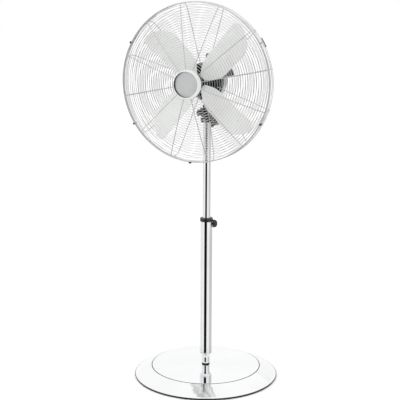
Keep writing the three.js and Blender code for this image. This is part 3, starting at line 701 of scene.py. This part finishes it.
def build_neck():
    bottom = low("neck_socket").z
    across = shift(0, 0, TILT_HEIGHT) @ turn("Y", 90)
    bore = NARROW_RADIUS + 0.1
    roof = SOCKET_TOP - 4.5
    shoulder = SOCKET_TOP - 1.5
    cup = lathe([(bore, bottom), (15.5, bottom), (18.2, bottom + 1.6), (19.5, bottom + 5), (19.5, shoulder),
                 (18.5, SOCKET_TOP), (0, SOCKET_TOP), (0, roof), (bore, roof)], 1, 96)
    tongue = rod(8, -9, 9, 1).moved(across)
    web = block((-9, -8, roof), (9, 8, TILT_HEIGHT), 2)
    lug = block((-8, 14, bottom + 2), (8, 23.7, shoulder), 3)
    moulded("neck", joined(cup, tongue, web, lug), "mast", "black_plastic", ["neck_socket"])
    screw = pan_head(4.2, 2.6).moved(shift(0, -19.6, bottom + 7) @ turn("X", 90))
    piece("neck_fixing_screw", screw, "mast", "bright_steel", ["neck_screw"])

    parts = []
    bridge = low("pivot_shaft").z + 2.8
    for side in (-1, 1):
        near, far = sorted((side * 9.4, side * 19))
        parts.append(rod(11.5, near, far, 1.5).moved(across))
        parts.append(block((near, -11.5, TILT_HEIGHT), (far, 11.5, bridge + 3), 2))
    parts.append(block((-19, -13, bridge), (19, 13, bridge + 4), 4))
    parts.append(rod(13, bridge + 1, SLEEVE_TOP, 1.2))
    fixed, pin = link_points()
    parts.append(bar(Vector((0, 0)), fixed, 5.6, LINK_ARM_BOTTOM, LINK_ARM_TOP))
    moulded("tilt_fork", joined(*parts), "tilt", "black_plastic", ["tilt_bracket"], 0.6, 4)

    bolt = lathe([(0, -30), (3, -30), (3, 19.3), (5.5, 19.3), (5.5, 21), (4.2, 22.6), (0, 22.6)], 0.5, 48)
    piece("tilt_bolt", bolt.moved(across), "tilt", "bright_steel", ["tilt_pin"])
    washer = lathe([(3.3, -20.7), (7.5, -20.7), (7.5, -19.3), (3.3, -19.3)], 0.3, 64)
    piece("tilt_bolt_washer", washer.moved(across), "tilt", "bright_steel", ["tilt_washer"])
    knob = lathe([(0, -33.4), (4.5, -33), (8, -31.4), (10, -29), (10.5, -27), (10.5, -25.8), (9.6, -24.4),
                  (7.2, -23.6), (6.5, -21), (3.3, -21), (3.3, -30.5), (0, -30.5)],
                 0.7, 144, flutes(10, 0.06))
    piece("tilt_clamp_knob", knob.moved(across), "tilt_knob", "black_plastic", ["tilt_knob"], sharp=50)
    build_switch_box()
    build_link(fixed, pin)


def build_switch_box():
    low_corner = low("switch_housing")
    high_corner = high("switch_housing")
    half = (high_corner - low_corner) / 2
    middle = (high_corner + low_corner) / 2
    depth = half.y
    seam = 6
    profile = [(3.2, -depth), (0.9, -depth + 1), (0, -depth + 3.6), (0, seam - 0.6), (0.7, seam - 0.3),
               (0.7, seam + 0.3), (0, seam + 0.6), (0, depth - 3), (0.9, depth - 1), (2.6, depth)]
    box = slab(half.x, half.z, 6, profile, 0.8)
    for k in range(4):
        tick = slab(0.5, 2, 0.45, [(0.2, 0), (0, 0.3), (0.2, 0.5)], 0.1, 3)
        box.add(tick, turn("Z", 45 * k - 45) @ shift(0, 15.2, depth - 0.1))
    for side in (-1, 1):
        box.add(pan_head(2.2, 0.9), shift(side * 15, -14, depth))
    # Drawn with +Z to the back and +Y up.
    to_back = shift(*middle) @ turn("Z", 180) @ turn("X", 90)
    piece("switch_box", box.moved(to_back), "mast", "black_plastic", ["switch_housing"])

    face = high("speed_knob").y
    root = low("speed_knob").y
    knob = lathe([(3.3, root), (11.5, root), (11.5, root + 2), (10.4, root + 3.4), (9.6, face - 1.6),
                  (8.4, face), (0, face), (0, face - 4), (3.3, face - 4)], 0.7, 160, flutes(16, 0.035))
    pointer = slab(0.7, 4, 0.6, [(0.2, face - 0.4), (0, face), (0.15, face + 0.35)], 0.15, 3)
    knob.add(pointer, shift(0, 4))
    to_back = shift(0, 0, SWITCH_MIDDLE) @ turn("Z", 180) @ turn("X", 90)
    piece("speed_dial", knob.moved(to_back), "speed_knob", "black_plastic", ["speed_knob"], sharp=40)

    bottom = low("cord_gland").z
    ribs = []
    for k in range(3):
        height = bottom + 1.2 + 2.3 * k
        ribs += [(4.6 + 0.4 * k, height), (5.0 + 0.4 * k, height + 0.3), (5.0 + 0.4 * k, height + 1.2),
                 (4.4 + 0.3 * k, height + 1.5)]
    gland = lathe([(3, bottom), (4.4, bottom), *ribs, (4, bottom + 8.6), (4, bottom + 11),
                   (3, bottom + 11)], 0.2, 48)
    piece("cord_grommet", gland.moved(shift(0, 40)), "mast", "rubber", ["cord_gland"])


def build_link(fixed, pin):
    bottom = low("link_rod").z
    top = high("link_rod").z
    rod_form = bar(fixed, pin, 4.2, bottom, top, 0.5)
    for point in (fixed, pin):
        rod_form.add(rod(6, bottom, top, 0.5), shift(point.x, point.y))
    piece("link_bar", rod_form, "link", "bright_steel", ["link_rod"])
    screw = joined(pan_head(4, 2.2).moved(shift(0, 0, top + 0.2)), rod(1.5, LINK_ARM_BOTTOM + 0.4, top + 1))
    piece("link_pivot_screw", screw.moved(shift(fixed.x, fixed.y)), "link", "bright_steel", ["link_screw"])

    arm_low = high("crank_arm").z - 4.5
    arm_high = high("crank_arm").z
    centre = Vector(CRANK)
    arm = joined(bar(centre, pin, 6, arm_low, arm_high),
                 rod(9, arm_low, arm_high, 0.8).moved(shift(*CRANK)),
                 rod(3, low("crank_arm").z, arm_low + 1).moved(shift(pin.x, pin.y)),
                 pan_head(4, 1.8).moved(turn("X", 180)).moved(shift(CRANK[0], CRANK[1], arm_low)))
    piece("crank", arm, "crank", "bright_steel", ["crank_arm"])


# ---------------------------------------------------------------- motor and gear
def upright(form, x=0, z=0):
    """Stands a form drawn along +Z up along +Y."""
    return form.moved(shift(x, 0, z) @ turn("X", -90))


def head_piece(name, form, slot, nodes, body="head", material=None, sharp=32):
    return piece(name, form.moved(HEAD), body, slot, nodes, material, sharp)


def build_motor():
    front = lathe([
        (5, 20), (46, 20), (51, 19.4), (55, 17), (57, 13), (57, 8.4), (56.4, 8), (56.4, 7.2), (57, 6.8),
        (57, 6), (54.8, 6), (54.8, 13.5), (50, 17.8), (5, 17.8),
    ], 1.2, 160)
    head_piece("front_housing", front, "black_paint", ["motor_front_bell"])

    # The rear housing carries turned grooves round its side.
    grooves = []
    for k in range(5):
        z = -3 - 5.4 * k
        grooves += [(53, z), (51.6, z - 0.5), (51.6, z - 1.9), (53, z - 2.4)]
    rear = lathe([(50.8, 5.7), (53, 5.7), *grooves, (53, -33), (51.4, -36), (47, -38), (38, -38), (36, -37),
                  (20, -37), (18, -38), (6, -38), (6, -35.8), (46, -35.8), (50.8, -31.5)], 0.6, 160)
    bottom = low("motor_rear_bell").z - AXIS_HEIGHT
    top = bottom + 14
    bearing = lathe([(5.3, bottom), (11, bottom), (11, bottom + 9), (12.5, top), (5.3, top)], 1.2, 64)
    lug = joined(upright(bearing), block((-9, bottom + 3, -20), (9, -49, 5.2), 3, 1.6))
    head_piece("rear_housing", joined(rear, lug), "aluminium", ["motor_rear_bell"])
    shaft = lathe([(0, -86.8), (7, -86.8), (7, -85.2), (5, -84.6), (5, -55.5), (0, -55)], 0.4, 64)
    head_piece("swing_shaft", upright(shaft), "bright_steel", ["pivot_shaft"])


def build_gear():
    case = low("gearbox_case")
    top = high("gearbox_case")
    low_corner = (case.x, -18, -top.y)
    high_corner = (top.x, 20, -38.3)
    half = [(b - a) / 2 for a, b in zip(low_corner, high_corner)]
    middle = [(b + a) / 2 for a, b in zip(low_corner, high_corner)]
    depth = half[2]
    seam = depth - 7
    profile = [(3, -depth), (0, -depth + 3), (0, seam - 0.5), (0.6, seam + 0.1), (0.6, seam + 0.6),
               (0, seam + 0.8), (0, depth - 0.8), (0.8, depth)]
    box = slab(half[0], half[1], 6, profile, 0.6).moved(shift(*middle))
    for sx in (-1, 1):
        for sy in (-1, 1):
            at = shift(middle[0] + sx * (half[0] - 6), middle[1] + sy * (half[1] - 6), low_corner[2])
            box.add(pan_head(2.6, 1.6), at @ turn("X", 180))
    for k in range(5):
        rib = block((middle[0] - half[0] + 12 + 6.4 * k, low_corner[1] + 8, low_corner[2] - 0.9),
                    (middle[0] - half[0] + 13.6 + 6.4 * k, high_corner[1] - 8, low_corner[2] + 1), 0.7, 0.4)
        box.add(rib)
    boss_bottom = CRANK_BOSS_BOTTOM - AXIS_HEIGHT
    boss = lathe([(4.3, boss_bottom), (7.6, boss_bottom), (8, boss_bottom + 1), (8, -24), (10.5, -17),
                  (4.3, -17)], 1, 64)
    box.add(upright(boss, CRANK[0], -CRANK[1]))
    head_piece("gear_case", box, "aluminium", ["gearbox_case"])

    knob = lathe([(0, 31), (3.5, 31), (3.5, 62), (8.4, 62.6), (10, 63.6), (10.5, 65), (10.5, 66.6),
                  (10, 67.2), (10.5, 67.8), (10.5, 73.6), (9.6, 76.4), (7.4, 78), (0, 78.5)],
                 0.7, 144, flutes(14, 0.03))
    head_piece("swing_knob", upright(knob, CRANK[0], -CRANK[1]), "black_plastic", ["oscillation_knob"],
               "oscillation_knob", sharp=45)
    build_hood()


def build_hood():
    """The cover over the upper half of the motor: a turned shell cut off level, with louvre grooves."""
    wall = 2.4
    front = 5.4
    back = -high("motor_hood").y
    grooves = []
    for k in range(4):
        z = back + 24 + 5.2 * k
        grooves += [(57, z), (55.9, z + 0.5), (55.9, z + 1.9), (57, z + 2.4)]
    outline = [(0, back), (42, back), (50, back + 3.4), (55, back + 8.6), (57, back + 16), *grooves,
               (57, front), (57 - wall, front), (57 - wall, back + 16.6), (52.6, back + 10),
               (48, back + 5.2), (41, back + wall), (0, back + wall)]
    hood = lathe(outline, 1, 192)
    thing = object_of("top_hood", hood.moved(HEAD), 30)
    shape = bmesh.new()
    shape.from_mesh(thing.data)
    skirt = low("motor_hood").z * MM
    cut = bmesh.ops.bisect_plane(shape, geom=shape.verts[:] + shape.edges[:] + shape.faces[:],
                                 plane_co=(0, 0, skirt), plane_no=(0, 0, 1), clear_inner=True)
    edges = [e for e in cut["geom_cut"] if isinstance(e, bmesh.types.BMEdge)]
    bmesh.ops.edgenet_fill(shape, edges=edges)
    bmesh.ops.recalc_face_normals(shape, faces=shape.faces)
    shape.to_mesh(thing.data)
    shape.free()
    thing.data.shade_smooth()
    thing.data.set_sharp_from_angle(angle=math.radians(30))
    finish_piece(thing, "head", "black_plastic", ["motor_hood"])


# ---------------------------------------------------------------- blades
def spline(points, steps):
    """Points along a uniform Catmull-Rom curve through the given plan points."""
    result = []
    last = len(points) - 1
    for i in range(last):
        a = Vector(points[max(i - 1, 0)])
        b = Vector(points[i])
        c = Vector(points[i + 1])
        d = Vector(points[min(i + 2, last)])
        for k in range(steps):
            t = k / steps
            result.append(0.5 * (2 * b + (c - a) * t + (2 * a - 5 * b + 4 * c - d) * t * t
                                 + (3 * b - a - 3 * c + d) * t ** 3))
    result.append(Vector(points[last]))
    return result


def blade_form():
    """A paddle: x runs outwards from the axis, y across the blade."""
    root = 17
    reach = 211.5
    trailing = [(root, -9), (34, -22.5), (52, -35), (66, -39), (85, -40), (112, -40), (136, -41.5),
                (158, -40), (178, -31), (194, -15), (205, 4), (reach, 21)]
    leading = [(root, 9), (30, 17.5), (48, 28), (70, 33.5), (90, 36), (120, 37.5), (150, 39.5),
               (175, 43), (196, 43.5), (208, 36), (reach, 21)]
    lower_edge = spline(trailing, 12)
    upper_edge = spline(leading, 12)
    stations = 72
    rows = []
    for i in range(stations + 1):
        x = root + (reach - root) * math.sin(math.pi / 2 * i / stations)
        rows.append((x, across_at(lower_edge, x), across_at(upper_edge, x)))
    columns = 28
    thickness = 1.6
    edge = 1.4
    bulge = 2.2
    form = Form()
    for face in (1, -1):
        grid = []
        for x, y0, y1 in rows:
            line = []
            for j in range(columns + 1):
                share = 0.5 - 0.5 * math.cos(math.pi * j / columns)
                y = y0 + (y1 - y0) * share
                inward = min(y - y0, y1 - y, x - root, edge)
                half = thickness / 2 * math.sqrt(max(0.0, 1 - (1 - inward / edge) ** 2))
                crown = bulge * (1 - (2 * share - 1) ** 2) * min(1, (x - root) / 60)
                z = BLADE_PLANE - thickness / 2 + BLADE_SLOPE * y + crown * 0.6 - 0.6 + face * half
                form.points.append(Vector((x, y, z)))
                line.append(len(form.points) - 1)
            grid.append(line)
        for i in range(stations):
            for j in range(columns):
                form.faces.append([grid[i][j], grid[i + 1][j], grid[i + 1][j + 1], grid[i][j + 1]])
    return form


def across_at(edge, x):
    """Where an edge of the blade lies across it at a distance from the axis."""
    for a, b in zip(edge, edge[1:]):
        if a.x <= x <= b.x and b.x > a.x:
            return a.y + (b.y - a.y) * (x - a.x) / (b.x - a.x)
    return edge[-1].y


def build_blades():
    blade = blade_form()
    slope = math.degrees(math.atan(BLADE_SLOPE))
    arms = Form()
    for i in range(BLADES):
        place = turn("Z", 45 + 360 / BLADES * i)
        head_piece(f"paddle_{i + 1}", blade.moved(place), "silver_paint", [f"blade_{i + 1}"], "fan")
        arm = slab(37, 10, 8, [(0.4, -3.3), (0, -3), (0, -2), (0.4, -1.9)], 0.2)
        arms.add(arm, place @ shift(47, 0, BLADE_PLANE - 0.6) @ turn("X", slope))
        for x, y in ((50, 0), (74, -5), (74, 5)):
            height = BLADE_PLANE + BLADE_SLOPE * y - 3.8
            arms.add(pan_head(2.6, 1.3), place @ shift(x, y, height) @ turn("X", slope + 180))
    hub = lathe([(4.3, 44), (24, 44), (24, 46), (15, 56), (15, 71), (13.6, 72.4), (4.3, 72.4)], 1.2, 96)
    head_piece("spider", joined(hub, arms), "black_paint", ["blade_hub"], "fan")
    nut = lathe([(4.3, 72.7), (14, 72.7), (15, 74.4), (14.2, 80), (12.4, 83.6), (9, 86), (4, 87.1),
                 (0, 87.2), (0, 84.4), (4.3, 84.4)], 1, 144, flutes(12, 0.05))
    head_piece("spin_nut", nut, "black_plastic", ["blade_nut"], "fan", sharp=45)
    shaft = lathe([(0, -78), (5.2, -78), (5.2, -42), (4, -41), (4, 84), (0, 84)], 0.5, 48)
    head_piece("spindle", shaft, "bright_steel", ["motor_shaft"], "fan")


# ---------------------------------------------------------------- guard
def front_height(r):
    """How far in front of the pole's axis the front guard's spokes run at a radius."""
    s = (RIM - r) / (RIM - 36)
    return FRONT_RIM + 40 * s + 16 * s * (1 - s)


def rear_height(r):
    """The same for the rear guard, which bows forward round its centre to clear the tilt knob."""
    s = (r - 44) / 164
    return 22.4 + 24.6 * s + 28 * s * (1 - s) ** 3


def rib(points, angle, radius):
    """A wire that follows [radius, height] points in the half plane at an angle."""
    c = math.cos(math.radians(angle))
    s = math.sin(math.radians(angle))
    return wire([Vector((p[0] * c, p[0] * s, p[1])) for p in points], (s, -c, 0), radius)


def build_front_guard():
    front = joined(ring(RIM, FRONT_RIM, RIM_WIRE, 240, 16))
    spoke = [(r, front_height(r)) for r in [RIM, *range(222, 34, -6), 34]]
    for k in range(SPOKES):
        front.add(rib(spoke, FRONT_SPOKE_ANGLE + 360 / SPOKES * k, SPOKE_WIRE))
    for k in range(FRONT_RINGS):
        r = 44 + RING_PITCH * k
        front.add(ring(r, front_height(r) + SPOKE_WIRE + RING_WIRE * 0.6, RING_WIRE))
    centre = lathe([(0, 136), (36, 136), (38, 136.6), (38, 138.2), (36, 138.6), (0, 138.6)], 0.4, 96)
    front.add(centre)
    head_piece("front_grille", front, "chrome_wire", ["front_guard"])


def build_rear_guard():
    rear = joined(ring(RIM, REAR_RIM, RIM_WIRE, 240, 16))
    band_bottom = 52.5
    path = softened([(RIM, REAR_RIM), (RIM, band_bottom), (208, rear_height(208)), (200, rear_height(200))],
                    11, False, 8)
    path = [*path, *(Vector((r, rear_height(r))) for r in range(188, 43, -12))]
    for k in range(SPOKES):
        rear.add(rib(path, REAR_SPOKE_ANGLE + 360 / SPOKES * k, SPOKE_WIRE))
    for k in range(REAR_RINGS):
        r = 56 + RING_PITCH * k
        rear.add(ring(r, rear_height(r) - SPOKE_WIRE - RING_WIRE * 0.6, RING_WIRE))
    for height in (68, 79):
        rear.add(ring(RIM + SPOKE_WIRE + RING_WIRE * 0.3, height, RING_WIRE, 200))
    for r, height in ((224.5, 53.5), (215.5, 47.6)):
        rear.add(ring(r, height, RING_WIRE, 200))
    plate = lathe([(9, 20.3), (49, 20.3), (50, 21), (50, 22), (48.5, 22.9), (30, 22.9), (28, 22.3),
                   (9, 22.3)], 0.5, 128)
    rear.add(plate)
    rear = head_piece("rear_grille", rear, "chrome_wire", ["rear_guard"])
    paint_where(rear, "black_paint", lambda place: reach_of(place) < 50.5 and place.z < 23, HEAD)

    nut = lathe([(9, 23.2), (23.4, 23.2), (24, 24), (24, 29), (22.4, 30), (9, 30)],
                0.8, 192, flutes(24, 0.03))
    head_piece("guard_ring_nut", nut, "black_plastic", ["guard_nut"], sharp=45)


def build_centre_cap():
    """A turned cap: a bevel painted lighter as painted highlight, a step behind it painted dark as painted
    shadow, and a satin plate at the bottom of the recess.
    """
    radius = high("hub_cover").x
    face = COVER_FACE
    plate = face - 6
    cover = lathe([
        (0, 138.9), (radius - 1.5, 138.9), (radius, 140.2), (radius - 0.4, 146), (radius - 1.4, 151.5),
        (radius - 2.8, face - 1.6), (radius - 3.8, face), (radius - 4.8, face), (radius - 5, plate),
        (0, plate),
    ], 0.5, 160)
    cap = head_piece("centre_cap", cover, "satin_silver", ["hub_cover"])
    wall = radius - 4.75

    def in_step_shadow(place):
        return wall - 0.65 < reach_of(place) <= wall and place.z > plate - 1

    # The bevel gets the lighter silver paint as painted highlight, and the step gets the dark rubber finish
    # as painted shadow.
    paint_where(cap, "silver_paint", lambda place: reach_of(place) > wall, HEAD)
    paint_where(cap, "rubber", in_step_shadow, HEAD)


def build_clips():
    """Spring clips hold the two rims together; one of them is a latch with a long thumb pad on the band."""
    outside = GUARD_RADIUS + 0.6
    back = REAR_RIM - 3
    front = FRONT_RIM + 3
    lip = 1.4
    outline = softened([
        (outside - 4, back - lip), (outside + lip, back - lip), (outside + lip, front + lip),
        (outside - 4, front + lip), (outside - 4, front), (outside, front), (outside, back),
        (outside - 4, back),
    ], 1.0, True, 4)

    def channel(half):
        return loft([[Vector((p.x, y, p.y)) for p in outline] for y in (-half, half)])

    for k, angle in enumerate(CLIP_ANGLES):
        head_piece(f"rim_clip_{k + 1}", channel(2.4).moved(turn("Z", angle)), "black_plastic",
                   [f"guard_clip_{k + 1}"], sharp=40)

    strap = block((outside, -1.6, BAND_BACK), (outside + lip, 1.6, front), 0.4, 0.3)
    pad = slab(5, 15, 3, [(0.8, 0), (0, 0.6), (0, 1.9), (0.7, 2.7), (2, 3)], 0.6)
    for k in range(-4, 5):
        pad.add(slab(3, 0.5, 0.4, [(0.2, 0), (0, 0.3), (0.2, 0.5)], 0.1, 3), shift(0, 2.6 * k, 2.7))
    pad_height = BAND_BACK + 12
    latch = joined(channel(1.6), strap).add(pad, shift(outside, 0, pad_height) @ turn("Y", 90))
    latch = head_piece("rim_latch", latch.moved(turn("Z", LATCH_ANGLE)), "black_plastic", ["guard_latch"],
                       sharp=40)
    paint_where(latch, "chrome_wire", lambda place: abs(place.z - pad_height) > 4, HEAD)


# ---------------------------------------------------------------- pieces kept from the frame
def dress_kept_nodes():
    """Give the frame's own solids, which stay inside the fan, the finish of their slot."""
    slots = {part["node"]: part["material_slot"] for part in frame["record"]["subparts"]}
    for name, thing in frame["nodes"].items():
        if not thing.hide_render:
            thing.data.materials.clear()
            thing.data.materials.append(MATERIALS[slots[name]])


place_camera()
build_studio()
build_base()
build_stand()
build_neck()
build_motor()
build_gear()
build_blades()
build_front_guard()
build_rear_guard()
build_centre_cap()
build_clips()
dress_kept_nodes()
